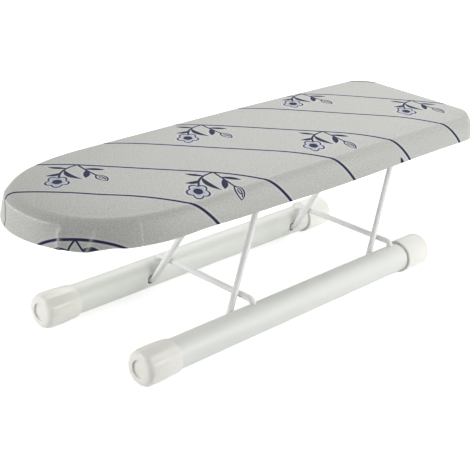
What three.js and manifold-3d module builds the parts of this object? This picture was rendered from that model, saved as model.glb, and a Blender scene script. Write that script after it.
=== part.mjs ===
// Tabletop ironing board: a padded, cloth covered board on two folding wire legs over a pair of foot tubes.
// Millimetres, +Z up, +X towards the square rear end, origin on the table under the middle of the board.

import * as THREE from "three";
import { mergeVertices } from "three/addons/utils/BufferGeometryUtils.js";
import Module from "manifold-3d";

const wasm = await Module();
wasm.setup();

// Covered board
const BOARD_LENGTH = 520;
const BOARD_WIDTH = 165;
const NOSE_LENGTH = 120;
const NOSE_FULLNESS = 2.3;
const REAR_CORNER_RADIUS = 30;
const BOARD_UNDERSIDE = 131.8;
const CORE_THICKNESS = 10;
const PAD_THICKNESS = 13.5;
const CROWN = 2.2;
const PLATEAU_CORNER_RADIUS = 4;
const COVER_THICKNESS = 1;
const EDGE_WIDTH = 11;
const COVER_BOTTOM_RADIUS = 2;
const HEM_WIDTH = 26;
const HEM_CASING_WIDTH = 9;
const HEM_CASING_DROP = 1.2;
const NOSE_FLARE = 1.8;
const NOSE_SAG = 2.5;
const FOLD_START = THREE.MathUtils.degToRad(29);
const FOLD_END = THREE.MathUtils.degToRad(52);

// Foot tubes and their end caps
const TUBE_DIAMETER = 28;
const TUBE_WALL = 1.2;
const TUBE_SPACING = 132.5;
const TUBE_FRONT_REACH = 85.6;
const TUBE_REAR_REACH = 27.4;
const CAP_DIAMETER = 33;
const FRONT_CAP_LENGTH = 36.5;
const FRONT_CAP_BORE_DEPTH = 28;
const FRONT_CAP_MOUTH_DIAMETER = 31;
const FRONT_CAP_SWELL_LENGTH = 17;
const FRONT_CAP_NOSE_LENGTH = 5;
const FRONT_CAP_FACE_DIAMETER = 23;
const FRONT_CAP_RECESS_DIAMETER = 16.5;
const FRONT_CAP_RECESS_DEPTH = 1.8;
const FLUTE_COUNT = 12;
const FLUTE_DEPTH = 0.9;
const REAR_CAP_LENGTH = 35;
const REAR_CAP_BORE_DEPTH = 24;
const REAR_CAP_EDGE_RADIUS = 4;
const CAP_LIP = 1.2;

// Bent wire legs and the stop wires that tie the tubes together
const WIRE_DIAMETER = 6;
const REAR_BAR_INSET = 59.73;
const LEG_SPACING = 203;
const LEG_LEAN = THREE.MathUtils.degToRad(30.7);
const LEG_FOOT_HALF_WIDTH = 50.2;
const LEG_TOP_HALF_WIDTH = 23.3;
const LEG_FOOT_BEND = 4.5;
const LEG_TOP_BEND = 7;
const LEG_HOLE_DIAMETER = 9;
const STOP_HEIGHT = 34.2;
const STOP_HALF_SPAN = 62.6;
const STOP_BEND = 4.5;
const STOP_END_DEPTH = 9;

// Saddles that hold the legs under the board, and their screws
const SADDLE_THICKNESS = 1.2;
const SADDLE_WIDTH = 10;
const SADDLE_HALF_LENGTH = 15;
const SADDLE_Y = 10;
const SCREW_SHANK_DIAMETER = 3;
const SCREW_LENGTH = 9;
const SCREW_POINT_LENGTH = 3;
const SCREW_TIP_DIAMETER = 0.8;
const SCREW_HEAD_DIAMETER = 6.6;
const SCREW_HEAD_HEIGHT = 2;

// Clearances
const FIT_GAP = 0.3;
const CUT_OVERRUN = 1;

// Facets
const NOSE_STEPS = 36;
const SIDE_STEPS = 4;
const CORNER_STEPS = 6;
const REAR_STEPS = 2;
const EDGE_ARC_STEPS = 5;
const CAP_ARC_STEPS = 3;
const CROWN_STEPS = 2;
const TUBE_SIDES = 36;
const FLUTE_STEPS = 4;
const WIRE_SIDES = 10;
const BEND_STEPS = 5;
const SADDLE_ARC_STEPS = 8;
const SCREW_SIDES = 12;
const HOLE_SIDES = 20;

// Places worked out from the sizes above
const HALF_WIDTH = BOARD_WIDTH / 2;
const NOSE_CENTRE_X = -BOARD_LENGTH / 2 + NOSE_FLARE + NOSE_LENGTH;
const EDGE_SLOPE_WIDTH = REAR_CORNER_RADIUS - PLATEAU_CORNER_RADIUS;
const COVER_INSET = COVER_THICKNESS + FIT_GAP;
const CORE_BOTTOM = BOARD_UNDERSIDE + COVER_INSET;
const CORE_TOP = CORE_BOTTOM + CORE_THICKNESS;
const PAD_BOTTOM = CORE_TOP + FIT_GAP;
const PAD_TOP = PAD_BOTTOM + PAD_THICKNESS;
const COVER_TOP = PAD_TOP + COVER_INSET;
const EDGE_BASE_Z = BOARD_UNDERSIDE + COVER_BOTTOM_RADIUS;
const EDGE_HEIGHT = COVER_TOP - CROWN - EDGE_BASE_Z;
const CORE_INSET = edgeInset(CORE_TOP) + COVER_INSET + FIT_GAP;
const WIRE_RADIUS = WIRE_DIAMETER / 2;
const TUBE_AXIS_Z = CAP_DIAMETER / 2;
const LEG_BAR_Z = CORE_BOTTOM - FIT_GAP - WIRE_RADIUS;
const LEG_LENGTH = (LEG_BAR_Z - TUBE_AXIS_Z) / Math.cos(LEG_LEAN);
const LEG_TOP_OFFSET = LEG_LENGTH * Math.sin(LEG_LEAN);
const REAR_PIVOT_X = BOARD_LENGTH / 2 - REAR_BAR_INSET - LEG_TOP_OFFSET;
const FRONT_PIVOT_X = REAR_PIVOT_X - LEG_SPACING;
const FRONT_MOUTH_X = FRONT_PIVOT_X - TUBE_FRONT_REACH;
const REAR_MOUTH_X = REAR_PIVOT_X + TUBE_REAR_REACH;
const TUBE_BORE_RADIUS = TUBE_DIAMETER / 2 - TUBE_WALL;
const LEG_END_Y = TUBE_SPACING / 2 + Math.sqrt(TUBE_BORE_RADIUS ** 2 - WIRE_RADIUS ** 2) - FIT_GAP;
const STOP_RISE = STOP_HEIGHT - TUBE_AXIS_Z;
const STOP_OFFSET = (STOP_RISE * Math.sin(LEG_LEAN) + WIRE_DIAMETER + FIT_GAP) / Math.cos(LEG_LEAN);
const STOP_HOLE_DIAMETER = WIRE_DIAMETER + 2 * FIT_GAP;
const SADDLE_SEAT_Z = CORE_BOTTOM - FIT_GAP;
const SADDLE_INNER_RADIUS = WIRE_RADIUS + FIT_GAP;
const SADDLE_OUTER_RADIUS = SADDLE_INNER_RADIUS + SADDLE_THICKNESS;
const SCREW_X = (SADDLE_OUTER_RADIUS + SADDLE_HALF_LENGTH) / 2;
const SCREW_HOLE_DIAMETER = SCREW_SHANK_DIAMETER + 2 * FIT_GAP;
const SCREW_SEAT_Z = SADDLE_SEAT_Z - SADDLE_THICKNESS - FIT_GAP;

// Finishes
const SILVER_CLOTH = { color: 0xc4c4be, roughness: 0.7, metalness: 0.1 };
const WHITE_FOAM = { color: 0xe6e2d6, roughness: 0.95, metalness: 0 };
const CHIPBOARD = { color: 0xb99a6b, roughness: 0.85, metalness: 0 };
const WHITE_COAT = { color: 0xdfe1de, roughness: 0.4, metalness: 0 };
const GREY_COAT = { color: 0xd2d4d3, roughness: 0.4, metalness: 0 };
const WHITE_PLASTIC = { color: 0xe4e3da, roughness: 0.5, metalness: 0 };
const ZINC = { color: 0xa9adb0, roughness: 0.4, metalness: 0.9 };

const board = new THREE.Group();

function addMesh(name, geometry, finish) {
  const mesh = new THREE.Mesh(geometry, new THREE.MeshStandardMaterial(finish));
  mesh.name = name;
  board.add(mesh);
  return mesh;
}

// Joins and cuts of closed solids
function toSolid(geometry) {
  const bare = geometry.clone();
  bare.deleteAttribute("normal");
  bare.deleteAttribute("uv");
  const merged = mergeVertices(bare);
  const vertProperties = new Float32Array(merged.attributes.position.array);
  const triVerts = new Uint32Array(merged.index.array);
  return new wasm.Manifold(new wasm.Mesh({ numProp: 3, vertProperties, triVerts }));
}

function toGeometry(solid) {
  const mesh = solid.getMesh();
  const geometry = new THREE.BufferGeometry();
  geometry.setAttribute("position", new THREE.BufferAttribute(mesh.vertProperties, 3));
  geometry.setIndex(new THREE.BufferAttribute(mesh.triVerts, 1));
  geometry.computeVertexNormals();
  return geometry;
}

function cutAll(geometry, cutters) {
  let solid = toSolid(geometry);
  for (const cutter of cutters) {
    solid = solid.subtract(toSolid(cutter));
  }
  return toGeometry(solid);
}

// Rods between two heights, or along X or Y
function rodZ(diameter, bottom, top, x, y, sides) {
  const rod = new THREE.CylinderGeometry(diameter / 2, diameter / 2, top - bottom, sides);
  return rod.rotateX(Math.PI / 2).translate(x, y, (top + bottom) / 2);
}

function rodX(diameter, from, to, y, z, sides) {
  const rod = new THREE.CylinderGeometry(diameter / 2, diameter / 2, to - from, sides);
  return rod.rotateZ(Math.PI / 2).translate((from + to) / 2, y, z);
}

function rodY(diameter, from, to, x, z, sides) {
  const length = Math.abs(to - from);
  const rod = new THREE.CylinderGeometry(diameter / 2, diameter / 2, length, sides);
  return rod.translate(x, (from + to) / 2, z);
}

// A closed skin over rings of points that run counterclockwise seen from +Z.
// The first ring is closed by a face towards +Z and the last one by a face towards -Z.
function ringSolid(rings) {
  const count = rings[0].length;
  const positions = rings.flatMap((ring) => ring.flatMap((p) => [p.x, p.y, p.z]));
  const index = [];
  for (let k = 0; k + 1 < rings.length; k++) {
    for (let i = 0; i < count; i++) {
      const j = (i + 1) % count;
      const [upper, upperNext] = [k * count + i, k * count + j];
      const [lower, lowerNext] = [upper + count, upperNext + count];
      index.push(lower, lowerNext, upper, lowerNext, upperNext, upper);
    }
  }
  const lastStart = (rings.length - 1) * count;
  for (const [a, b, c] of THREE.ShapeUtils.triangulateShape(rings[0], [])) {
    index.push(a, b, c);
  }
  for (const [a, b, c] of THREE.ShapeUtils.triangulateShape(rings.at(-1), [])) {
    index.push(lastStart + a, lastStart + c, lastStart + b);
  }
  const geometry = new THREE.BufferGeometry();
  geometry.setAttribute("position", new THREE.Float32BufferAttribute(positions, 3));
  geometry.setIndex(index);
  geometry.computeVertexNormals();
  return geometry;
}

// Plan of the covered board: a full elliptical nose, straight sides and a square end with round corners.
// Each sample has its place, its outward normal and the shares by which the cover flares and sags there.
function boardPlan() {
  const samples = [];
  const add = (x, y, nx, ny, flare = 0, sag = 0) => {
    const normal = new THREE.Vector2(nx, ny).normalize();
    samples.push({ place: new THREE.Vector2(x, y), normal, flare, sag });
  };
  const fuller = (value, power) => Math.sign(value) * Math.abs(value) ** power;
  for (let i = 0; i < NOSE_STEPS; i++) {
    const share = i / NOSE_STEPS;
    const angle = Math.PI * (0.5 + share);
    const [c, s] = [fuller(Math.cos(angle), 2 / NOSE_FULLNESS), fuller(Math.sin(angle), 2 / NOSE_FULLNESS)];
    const nx = fuller(c, NOSE_FULLNESS - 1) / NOSE_LENGTH;
    const ny = fuller(s, NOSE_FULLNESS - 1) / HALF_WIDTH;
    const turn = Math.atan2(Math.abs(ny), -nx);
    const foldShare = THREE.MathUtils.clamp((turn - FOLD_START) / (FOLD_END - FOLD_START), 0, 1);
    const sag = Math.sin(Math.PI * foldShare);
    add(NOSE_CENTRE_X + NOSE_LENGTH * c, HALF_WIDTH * s, nx, ny, Math.cos(turn), sag);
  }
  const cornerX = BOARD_LENGTH / 2 - REAR_CORNER_RADIUS;
  const cornerY = HALF_WIDTH - REAR_CORNER_RADIUS;
  const addCorner = (y, from) => {
    for (let i = 0; i < CORNER_STEPS; i++) {
      const angle = from + (Math.PI / 2) * (i / CORNER_STEPS);
      const [c, s] = [Math.cos(angle), Math.sin(angle)];
      add(cornerX + REAR_CORNER_RADIUS * c, y + REAR_CORNER_RADIUS * s, c, s);
    }
  };
  for (let i = 0; i < SIDE_STEPS; i++) {
    add(THREE.MathUtils.lerp(NOSE_CENTRE_X, cornerX, i / SIDE_STEPS), -HALF_WIDTH, 0, -1);
  }
  addCorner(-cornerY, -Math.PI / 2);
  for (let i = 0; i < REAR_STEPS; i++) {
    add(BOARD_LENGTH / 2, THREE.MathUtils.lerp(-cornerY, cornerY, i / REAR_STEPS), 1, 0);
  }
  addCorner(cornerY, 0);
  for (let i = 0; i < SIDE_STEPS; i++) {
    add(THREE.MathUtils.lerp(cornerX, NOSE_CENTRE_X, i / SIDE_STEPS), HALF_WIDTH, 0, 1);
  }
  return samples;
}

const PLAN = boardPlan();

// One ring of the plan, drawn in by an inset, flaring out round the nose and sagging between its two folds
function planRing(inset, z, flareOut = 0, sagDrop = 0) {
  return PLAN.map(({ place, normal, flare, sag }) => {
    const p = place.clone().addScaledVector(normal, flareOut * flare - inset);
    return new THREE.Vector3(p.x, p.y, z - sagDrop * sag);
  });
}

// How far in from its widest line the cover's elliptical edge lies at a height
function edgeInset(z) {
  return EDGE_WIDTH * (1 - Math.sqrt(1 - ((z - EDGE_BASE_Z) / EDGE_HEIGHT) ** 2));
}

// Rings from the flat middle of the crowned top, down its slope and round the elliptical edge to a height,
// all of them lying inside the cover's skin by an inset
function crownedRings(inset, bottom, flareOut = 0, sagDrop = 0) {
  const rings = [];
  for (let i = 0; i < CROWN_STEPS; i++) {
    const share = i / CROWN_STEPS;
    const slopeInset = THREE.MathUtils.lerp(EDGE_SLOPE_WIDTH, EDGE_WIDTH, share);
    rings.push(planRing(slopeInset, COVER_TOP - inset - CROWN * share ** 2));
  }
  const [width, height] = [EDGE_WIDTH - inset, EDGE_HEIGHT - inset];
  const lastAngle = Math.asin((bottom - EDGE_BASE_Z) / height);
  for (let i = 0; i <= EDGE_ARC_STEPS; i++) {
    const angle = THREE.MathUtils.lerp(Math.PI / 2, lastAngle, i / EDGE_ARC_STEPS);
    const rise = Math.sin(angle);
    const below = 1 - rise;
    const edge = EDGE_WIDTH - width * Math.cos(angle);
    rings.push(planRing(edge, EDGE_BASE_Z + height * rise, flareOut * below, sagDrop * below));
  }
  return rings;
}

function screwPlaces() {
  const places = [];
  for (const [legName, pivotX] of legPivots()) {
    for (const [sideName, side] of [["left", 1], ["right", -1]]) {
      for (const [endName, end] of [["front", -1], ["rear", 1]]) {
        const name = `${legName}_${sideName}_${endName}_screw`;
        places.push({ name, x: pivotX + LEG_TOP_OFFSET + end * SCREW_X, y: side * SADDLE_Y });
      }
    }
  }
  return places;
}

function legPivots() {
  return [["front", FRONT_PIVOT_X], ["rear", REAR_PIVOT_X]];
}

// Chipboard core, drilled for the saddle screws
function boardCore() {
  const slab = ringSolid([planRing(CORE_INSET, CORE_TOP), planRing(CORE_INSET, CORE_BOTTOM)]);
  const holeTop = SCREW_SEAT_Z + SCREW_LENGTH + FIT_GAP;
  const holes = screwPlaces().map(({ x, y }) =>
    rodZ(SCREW_HOLE_DIAMETER, CORE_BOTTOM - CUT_OVERRUN, holeTop, x, y, SCREW_SIDES));
  return cutAll(slab, holes);
}

// Foam pad with a crowned top and a rounded edge
function foamPad() {
  return ringSolid(crownedRings(COVER_INSET, PAD_BOTTOM));
}

// Cloth cover: over the pad, round its edge and under the core to a gathered hem casing
function fabricCover() {
  const hemStart = HEM_WIDTH - HEM_CASING_WIDTH;
  const casingBottom = BOARD_UNDERSIDE - HEM_CASING_DROP;
  const innerBottom = BOARD_UNDERSIDE + COVER_THICKNESS;
  const cornerCut = COVER_BOTTOM_RADIUS * (1 - Math.SQRT1_2);
  const outside = [
    ...crownedRings(0, EDGE_BASE_Z, NOSE_FLARE, NOSE_SAG),
    planRing(cornerCut, BOARD_UNDERSIDE + cornerCut, NOSE_FLARE, NOSE_SAG),
    planRing(COVER_BOTTOM_RADIUS, BOARD_UNDERSIDE, NOSE_FLARE, NOSE_SAG),
    planRing(hemStart, BOARD_UNDERSIDE, 0, NOSE_SAG / 2),
    planRing(hemStart + HEM_CASING_WIDTH / 3, casingBottom, 0, NOSE_SAG / 2),
    planRing(HEM_WIDTH - HEM_CASING_WIDTH / 4, casingBottom, 0, NOSE_SAG / 2),
    planRing(HEM_WIDTH, BOARD_UNDERSIDE, 0, NOSE_SAG / 2),
  ];
  const inside = [
    planRing(HEM_WIDTH - HEM_CASING_WIDTH / 4, innerBottom),
    planRing(COVER_THICKNESS, innerBottom),
    ...crownedRings(COVER_THICKNESS, EDGE_BASE_Z).reverse(),
  ];
  return ringSolid([...outside, ...inside]);
}

// A wire's centre line through corners, with each inner corner bent to a radius.
// Straight runs have no points between their ends, so a facet is as long as its run.
class WirePath extends THREE.Curve {
  constructor(corners, bends) {
    super();
    this.points = [corners[0]];
    this.tangents = [new THREE.Vector3().subVectors(corners[1], corners[0]).normalize()];
    for (let i = 1; i + 1 < corners.length; i++) {
      this.addBend(corners[i - 1], corners[i], corners[i + 1], bends[i - 1]);
    }
    this.points.push(corners.at(-1));
    this.tangents.push(this.tangents.at(-1));
  }

  addBend(before, corner, after, radius) {
    const into = new THREE.Vector3().subVectors(corner, before).normalize();
    const out = new THREE.Vector3().subVectors(after, corner).normalize();
    const turn = into.angleTo(out);
    const start = corner.clone().addScaledVector(into, -radius * Math.tan(turn / 2));
    const axis = new THREE.Vector3().crossVectors(into, out).normalize();
    const centre = start.clone().addScaledVector(new THREE.Vector3().crossVectors(axis, into), radius);
    for (let k = 0; k <= BEND_STEPS; k++) {
      const angle = turn * (k / BEND_STEPS);
      const arm = start.clone().sub(centre).applyAxisAngle(axis, angle);
      this.points.push(centre.clone().add(arm));
      this.tangents.push(into.clone().applyAxisAngle(axis, angle));
    }
  }

  getPointAt(share) {
    return this.points[Math.round(share * (this.points.length - 1))].clone();
  }

  getTangentAt(share) {
    return this.tangents[Math.round(share * (this.tangents.length - 1))].clone();
  }
}

function circlePoints(radius, sides) {
  return Array.from({ length: sides }, (_, i) => {
    const angle = (2 * Math.PI * i) / sides;
    return new THREE.Vector2(radius * Math.cos(angle), radius * Math.sin(angle));
  });
}

function bentWire(corners, bends) {
  const extrudePath = new WirePath(corners, bends);
  const section = new THREE.Shape(circlePoints(WIRE_RADIUS, WIRE_SIDES));
  return new THREE.ExtrudeGeometry(section, { extrudePath, steps: extrudePath.points.length - 1 });
}

// U shaped leg: its feet turn outwards into the tubes and its top bar lies under the board.
// It is drawn in its own plane, +Z along the leg, and leans when its mesh is turned.
function legWire() {
  const corners = [
    new THREE.Vector3(0, -LEG_END_Y, 0),
    new THREE.Vector3(0, -LEG_FOOT_HALF_WIDTH, 0),
    new THREE.Vector3(0, -LEG_TOP_HALF_WIDTH, LEG_LENGTH),
    new THREE.Vector3(0, LEG_TOP_HALF_WIDTH, LEG_LENGTH),
    new THREE.Vector3(0, LEG_FOOT_HALF_WIDTH, 0),
    new THREE.Vector3(0, LEG_END_Y, 0),
  ];
  return bentWire(corners, [LEG_FOOT_BEND, LEG_TOP_BEND, LEG_TOP_BEND, LEG_FOOT_BEND]);
}

// Stop wire: spans the tubes just above them, with its ends bent down into their tops
function stopWire() {
  const endZ = TUBE_AXIS_Z + TUBE_DIAMETER / 2 - STOP_END_DEPTH;
  const corners = [
    new THREE.Vector3(0, -STOP_HALF_SPAN, endZ),
    new THREE.Vector3(0, -STOP_HALF_SPAN, STOP_HEIGHT),
    new THREE.Vector3(0, STOP_HALF_SPAN, STOP_HEIGHT),
    new THREE.Vector3(0, STOP_HALF_SPAN, endZ),
  ];
  return bentWire(corners, [STOP_BEND, STOP_BEND]);
}

// Foot tube, drilled on its inner face for the leg feet and on top for the stop wires
function footTube(side) {
  const y = (side * TUBE_SPACING) / 2;
  const from = FRONT_MOUTH_X - FRONT_CAP_BORE_DEPTH + FIT_GAP;
  const to = REAR_MOUTH_X + REAR_CAP_BORE_DEPTH - FIT_GAP;
  const bar = rodX(TUBE_DIAMETER, from, to, y, TUBE_AXIS_Z, TUBE_SIDES);
  const bore = 2 * TUBE_BORE_RADIUS;
  const cutters = [rodX(bore, from - CUT_OVERRUN, to + CUT_OVERRUN, y, TUBE_AXIS_Z, TUBE_SIDES)];
  const tubeTop = TUBE_AXIS_Z + TUBE_DIAMETER / 2;
  for (const [, pivotX] of legPivots()) {
    const innerY = y - side * TUBE_DIAMETER;
    cutters.push(rodY(LEG_HOLE_DIAMETER, innerY, y, pivotX, TUBE_AXIS_Z, HOLE_SIDES));
    const stopY = side * STOP_HALF_SPAN;
    const stopX = pivotX + STOP_OFFSET;
    cutters.push(rodZ(STOP_HOLE_DIAMETER, TUBE_AXIS_Z, tubeTop + CUT_OVERRUN, stopX, stopY, HOLE_SIDES));
  }
  return cutAll(bar, cutters);
}

// A ring round the Z axis, with shallow flutes where a flute depth is given
function roundRing(radius, z, sides, fluteDepth = 0) {
  return Array.from({ length: sides }, (_, i) => {
    const angle = (2 * Math.PI * i) / sides;
    const r = radius - fluteDepth * (0.5 - 0.5 * Math.cos(FLUTE_COUNT * angle));
    return new THREE.Vector3(r * Math.cos(angle), r * Math.sin(angle), z);
  });
}

// Front cap, drawn with its face towards +Z and its mouth at Z = 0: fluted, swelling from the mouth,
// with a rounded nose and a round recess in its face
function frontCap() {
  const sides = FLUTE_COUNT * FLUTE_STEPS;
  const bore = TUBE_DIAMETER / 2 + FIT_GAP;
  const noseStart = FRONT_CAP_LENGTH - FRONT_CAP_NOSE_LENGTH;
  const shoulder = (CAP_DIAMETER - FRONT_CAP_FACE_DIAMETER) / 2;
  const noseRings = [];
  for (let i = CAP_ARC_STEPS; i >= 0; i--) {
    const angle = (Math.PI / 2) * (i / CAP_ARC_STEPS);
    const radius = FRONT_CAP_FACE_DIAMETER / 2 + shoulder * Math.cos(angle);
    const fade = FLUTE_DEPTH * Math.cos(angle);
    noseRings.push(roundRing(radius, noseStart + FRONT_CAP_NOSE_LENGTH * Math.sin(angle), sides, fade));
  }
  const mouth = FRONT_CAP_MOUTH_DIAMETER / 2;
  return ringSolid([
    roundRing(FRONT_CAP_RECESS_DIAMETER / 2, FRONT_CAP_LENGTH - FRONT_CAP_RECESS_DEPTH, sides),
    roundRing(FRONT_CAP_RECESS_DIAMETER / 2, FRONT_CAP_LENGTH, sides),
    ...noseRings,
    roundRing(CAP_DIAMETER / 2, FRONT_CAP_SWELL_LENGTH, sides, FLUTE_DEPTH),
    roundRing(mouth, CAP_LIP, sides),
    roundRing(mouth - CAP_LIP / 2, 0, sides),
    roundRing(bore, 0, sides),
    roundRing(bore, FRONT_CAP_BORE_DEPTH, sides),
  ]);
}

// Rear cap, drawn the same way round: plain, with a rounded end
function rearCap() {
  const bore = TUBE_DIAMETER / 2 + FIT_GAP;
  const radius = CAP_DIAMETER / 2;
  const endRings = [];
  for (let i = CAP_ARC_STEPS; i >= 0; i--) {
    const angle = (Math.PI / 2) * (i / CAP_ARC_STEPS);
    const r = radius - REAR_CAP_EDGE_RADIUS * (1 - Math.cos(angle));
    const z = REAR_CAP_LENGTH - REAR_CAP_EDGE_RADIUS * (1 - Math.sin(angle));
    endRings.push(roundRing(r, z, TUBE_SIDES));
  }
  return ringSolid([
    ...endRings,
    roundRing(radius, CAP_LIP / 2, TUBE_SIDES),
    roundRing(radius - CAP_LIP / 2, 0, TUBE_SIDES),
    roundRing(bore, 0, TUBE_SIDES),
    roundRing(bore, REAR_CAP_BORE_DEPTH, TUBE_SIDES),
  ]);
}

// Pressed steel saddle over a leg's top bar, with a flange and a screw hole at each end
function saddle() {
  const barZ = -SADDLE_INNER_RADIUS;
  const profile = new THREE.Shape();
  profile.moveTo(-SADDLE_HALF_LENGTH, 0);
  profile.lineTo(-SADDLE_HALF_LENGTH, -SADDLE_THICKNESS);
  profile.lineTo(-SADDLE_OUTER_RADIUS, -SADDLE_THICKNESS);
  profile.lineTo(-SADDLE_OUTER_RADIUS, barZ);
  profile.absarc(0, barZ, SADDLE_OUTER_RADIUS, Math.PI, 2 * Math.PI, false);
  profile.lineTo(SADDLE_OUTER_RADIUS, -SADDLE_THICKNESS);
  profile.lineTo(SADDLE_HALF_LENGTH, -SADDLE_THICKNESS);
  profile.lineTo(SADDLE_HALF_LENGTH, 0);
  profile.lineTo(SADDLE_INNER_RADIUS, 0);
  profile.lineTo(SADDLE_INNER_RADIUS, barZ);
  profile.absarc(0, barZ, SADDLE_INNER_RADIUS, 2 * Math.PI, Math.PI, true);
  profile.lineTo(-SADDLE_INNER_RADIUS, 0);
  const settings = { depth: SADDLE_WIDTH, bevelEnabled: false, curveSegments: SADDLE_ARC_STEPS };
  const strap = new THREE.ExtrudeGeometry(profile, settings);
  strap.rotateX(Math.PI / 2).translate(0, SADDLE_WIDTH / 2, 0);
  const holes = [-SCREW_X, SCREW_X].map((x) =>
    rodZ(SCREW_HOLE_DIAMETER, -SADDLE_THICKNESS - CUT_OVERRUN, CUT_OVERRUN, x, 0, SCREW_SIDES));
  return cutAll(strap, holes);
}

// Pan head screw, drawn with its point towards +Z and the underside of its head at Z = 0
function screw() {
  const shank = SCREW_SHANK_DIAMETER / 2;
  const head = SCREW_HEAD_DIAMETER / 2;
  return ringSolid([
    roundRing(SCREW_TIP_DIAMETER / 2, SCREW_LENGTH, SCREW_SIDES),
    roundRing(shank, SCREW_LENGTH - SCREW_POINT_LENGTH, SCREW_SIDES),
    roundRing(shank, 0, SCREW_SIDES),
    roundRing(head, 0, SCREW_SIDES),
    roundRing(head, -SCREW_HEAD_HEIGHT / 2, SCREW_SIDES),
    roundRing(shank, -SCREW_HEAD_HEIGHT, SCREW_SIDES),
  ]);
}

function addBoard() {
  addMesh("board_core", boardCore(), CHIPBOARD);
  addMesh("foam_pad", foamPad(), WHITE_FOAM);
  addMesh("fabric_cover", fabricCover(), SILVER_CLOTH);
}

function addLegs() {
  for (const [name, pivotX] of legPivots()) {
    const leg = addMesh(`${name}_leg_wire`, legWire(), GREY_COAT);
    leg.position.set(pivotX, 0, TUBE_AXIS_Z);
    leg.rotation.y = LEG_LEAN;
    const stop = addMesh(`${name}_stop_wire`, stopWire(), GREY_COAT);
    stop.position.x = pivotX + STOP_OFFSET;
    for (const [sideName, side] of [["left", 1], ["right", -1]]) {
      const strap = addMesh(`${name}_${sideName}_saddle`, saddle(), ZINC);
      strap.position.set(pivotX + LEG_TOP_OFFSET, side * SADDLE_Y, SADDLE_SEAT_Z);
    }
  }
  for (const { name, x, y } of screwPlaces()) {
    addMesh(name, screw(), ZINC).position.set(x, y, SCREW_SEAT_Z);
  }
}

function addFeet() {
  for (const [sideName, side] of [["left", 1], ["right", -1]]) {
    addMesh(`${sideName}_foot_tube`, footTube(side), WHITE_COAT);
    const y = (side * TUBE_SPACING) / 2;
    const front = addMesh(`${sideName}_front_cap`, frontCap(), WHITE_PLASTIC);
    front.position.set(FRONT_MOUTH_X, y, TUBE_AXIS_Z);
    front.rotation.y = -Math.PI / 2;
    const rear = addMesh(`${sideName}_rear_cap`, rearCap(), WHITE_PLASTIC);
    rear.position.set(REAR_MOUTH_X, y, TUBE_AXIS_Z);
    rear.rotation.y = Math.PI / 2;
  }
}

addBoard();
addLegs();
addFeet();

export default board;
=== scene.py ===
"""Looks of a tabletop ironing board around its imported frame. Metres, +Z up, +X towards the square rear."""

import math
from typing import NamedTuple

import bmesh
import bpy
import numpy as np
from mathutils import Matrix, Vector


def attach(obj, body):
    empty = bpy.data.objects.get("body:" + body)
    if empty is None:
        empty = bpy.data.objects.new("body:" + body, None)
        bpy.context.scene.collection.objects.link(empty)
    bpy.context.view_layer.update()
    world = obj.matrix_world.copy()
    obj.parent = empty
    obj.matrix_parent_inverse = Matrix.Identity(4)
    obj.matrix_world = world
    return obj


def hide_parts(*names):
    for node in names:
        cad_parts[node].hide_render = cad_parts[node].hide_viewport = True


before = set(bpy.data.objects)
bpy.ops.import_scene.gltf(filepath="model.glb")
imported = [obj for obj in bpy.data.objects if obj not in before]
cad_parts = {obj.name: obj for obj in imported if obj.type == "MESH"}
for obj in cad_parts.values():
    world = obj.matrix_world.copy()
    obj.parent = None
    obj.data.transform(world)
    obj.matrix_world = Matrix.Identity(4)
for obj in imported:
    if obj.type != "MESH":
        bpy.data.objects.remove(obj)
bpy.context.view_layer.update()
MM = 0.001


class Edge(NamedTuple):
    """One side's rounded edge, in millimetres."""
    width: float
    top: float


class Fold(NamedTuple):
    """One fold down the nose's edge: sizes in millimetres, then where it starts as shares of the way down."""
    place: float
    slant: float
    height: float
    left_width: float
    right_width: float
    lip: float
    start: float
    full: float
    crease_start: float


class Wave(NamedTuple):
    """A stretch of hem that hangs lower, or higher where its drop is below 0, in millimetres."""
    middle: float
    spread: float
    drop: float


# Covered board, in millimetres
NOSE_TIP_X = -258.8
NOSE_LENGTH = 120.0
NOSE_FULLNESS = 2.26
REAR_X = 262.6
NEAR_Y = -82.0
FAR_Y = 82.9
NEAR_CORNER_RADIUS = 24.5
FAR_CORNER_RADIUS = 30.4
SIDE_BOW = 0.8
COVER_TOP = 158.2
UNDERSIDE = 131.8
EDGE_BASE = 134.0
CROWN_WIDTH = 35.0
NEAR_EDGE = Edge(width=11.9, top=155.0)
FAR_EDGE = Edge(width=10.1, top=156.8)
REAR_EDGE = Edge(width=7.6, top=157.4)
NOSE_EDGE = Edge(width=11.3, top=156.0)
NEAR_DROOP = 3.0
FAR_DROOP = 1.8
CLOTH_THICKNESS = 0.8
PAD_BOTTOM = 143.4
FIT_GAP = 0.3

# Hem under the board, in millimetres
HEM_RADIUS = 2.2
HEM_WIDTH = 26.0
HEM_LIFT = 1.0
CASING_WIDTH = 9.0
CASING_DROP = 1.2
RIPPLE_LENGTH = 6.5
RIPPLE_HEIGHT = 0.45
RIPPLE_DRIFT = 1.7
RIPPLE_DRIFT_LENGTH = 37.0
NOSE_WAVES = (Wave(-14.0, 30.0, 2.0), Wave(80.0, 8.0, -1.2))
NEAR_WAVES = (Wave(-135.0, 26.0, -1.2), Wave(45.0, 100.0, 2.6))

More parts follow.
